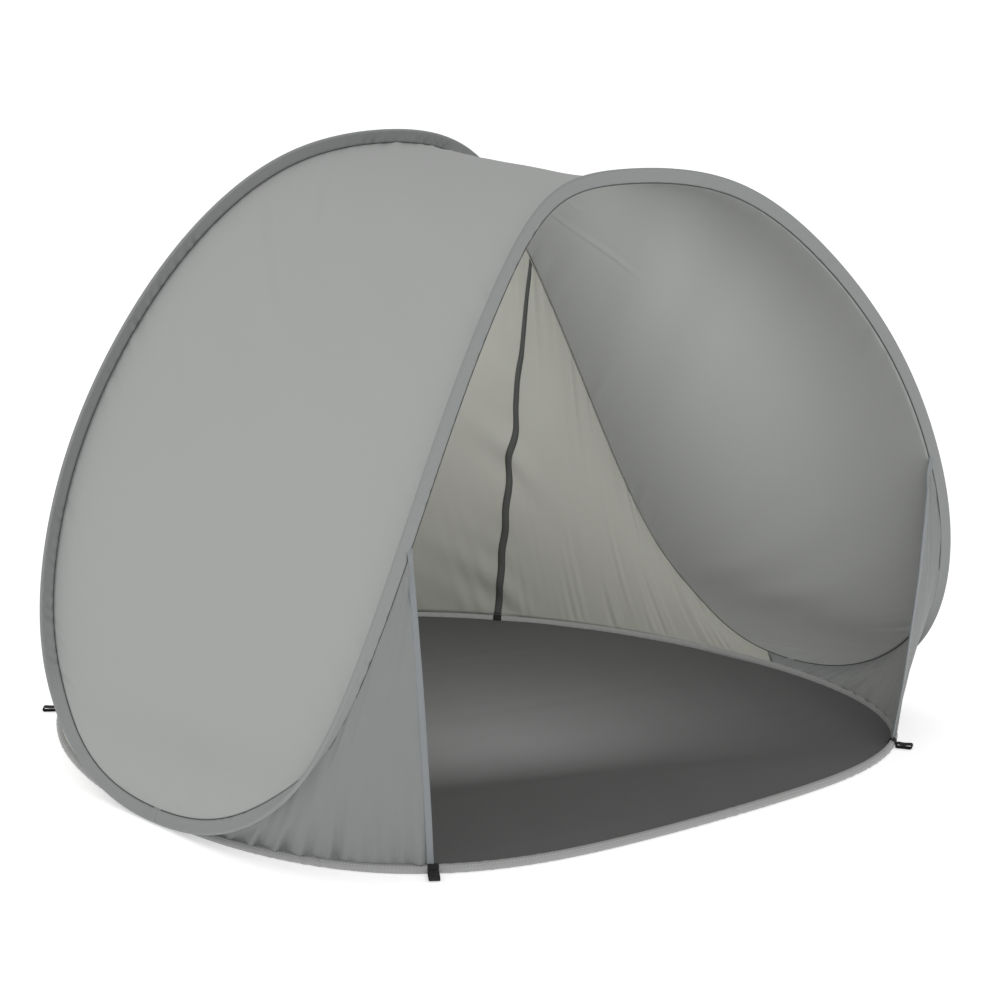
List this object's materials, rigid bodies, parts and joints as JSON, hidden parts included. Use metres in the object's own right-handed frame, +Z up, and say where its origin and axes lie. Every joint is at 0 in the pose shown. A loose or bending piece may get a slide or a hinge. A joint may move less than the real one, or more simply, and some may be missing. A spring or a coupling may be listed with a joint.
{
  "type": "pop-up beach tent",
  "caption": "Pop-up beach tent: a saddle-bent spring hoop over a flat floor hoop, with canopy, back wall, side wings, floor sheet and peg loops.",
  "frame": {"origin": "on the ground under the centre of the tent's box", "axes": "+X left to right, -Y out of the doorway, +Z up; the tent is mirror-symmetric about X = 0"},
  "size_m": [1.6536, 1.6874, 1.195],
  "materials": {
    "spring_wire": "oiled spring steel",
    "crimped_steel": "zinc plated",
    "sleeve_cloth": "coated polyester, grey",
    "canopy_cloth": "coated polyester, mid grey",
    "back_cloth": "coated polyester, light warm grey",
    "seam_tape": "woven tape, dark grey",
    "hem_tape": "folded hem, grey",
    "floor_cloth": "coated polyester, dark grey",
    "peg_webbing": "black webbing"
  },
  "bodies": {
    "rear_half": {"canopy_panel": "canopy_cloth", "canopy_hoop_rear": "spring_wire", "canopy_sleeve_rear": "sleeve_cloth", "canopy_hoop_ferrule": "crimped_steel", "back_panel_centre": "back_cloth", "back_panel_left": "back_cloth", "back_panel_right": "back_cloth", "back_tape_left": "seam_tape", "back_tape_right": "seam_tape", "floor_sheet_rear": "floor_cloth", "floor_hoop_rear": "spring_wire", "floor_sleeve_rear": "sleeve_cloth", "floor_hoop_ferrule": "crimped_steel"},
    "front_half": {"canopy_hoop_front": "spring_wire", "canopy_sleeve_front": "sleeve_cloth", "wing_left": "canopy_cloth", "wing_right": "canopy_cloth", "wing_hem_left": "hem_tape", "wing_hem_right": "hem_tape", "floor_sheet_front": "floor_cloth", "floor_hoop_front": "spring_wire", "floor_sleeve_front": "sleeve_cloth"},
    "peg_loop_front_left": {"peg_loop_front_left": "peg_webbing"},
    "peg_loop_front_right": {"peg_loop_front_right": "peg_webbing"},
    "peg_loop_rear_left": {"peg_loop_rear_left": "peg_webbing"},
    "peg_loop_rear_right": {"peg_loop_rear_right": "peg_webbing"}
  },
  "joints": [
    {"name": "front_fold", "type": "hinge", "parent": "rear_half", "child": "front_half", "pos_m": [0, -0.226, 0], "axis": [-1, 0, 0], "range_deg": [0, 20], "stiffness_Nm_per_rad": 8, "deforming": ["canopy_panel"]},
    {"name": "peg_loop_front_left_flip", "type": "hinge", "parent": "front_half", "child": "peg_loop_front_left", "pos_m": [-0.58544, -0.74331, 0.005], "axis": [-0.8311, 0.5561, 0], "range_deg": [0, 90]},
    {"name": "peg_loop_front_right_flip", "type": "hinge", "parent": "front_half", "child": "peg_loop_front_right", "pos_m": [0.58544, -0.74331, 0.005], "axis": [-0.8311, -0.5561, 0], "range_deg": [0, 90]},
    {"name": "peg_loop_rear_left_flip", "type": "hinge", "parent": "rear_half", "child": "peg_loop_rear_left", "pos_m": [-0.59305, 0.51485, 0.005], "axis": [0.5904, 0.8071, 0], "range_deg": [0, 90]},
    {"name": "peg_loop_rear_right_flip", "type": "hinge", "parent": "rear_half", "child": "peg_loop_rear_right", "pos_m": [0.59305, 0.51485, 0.005], "axis": [0.5904, -0.8071, 0], "range_deg": [0, 90]}
  ]
}
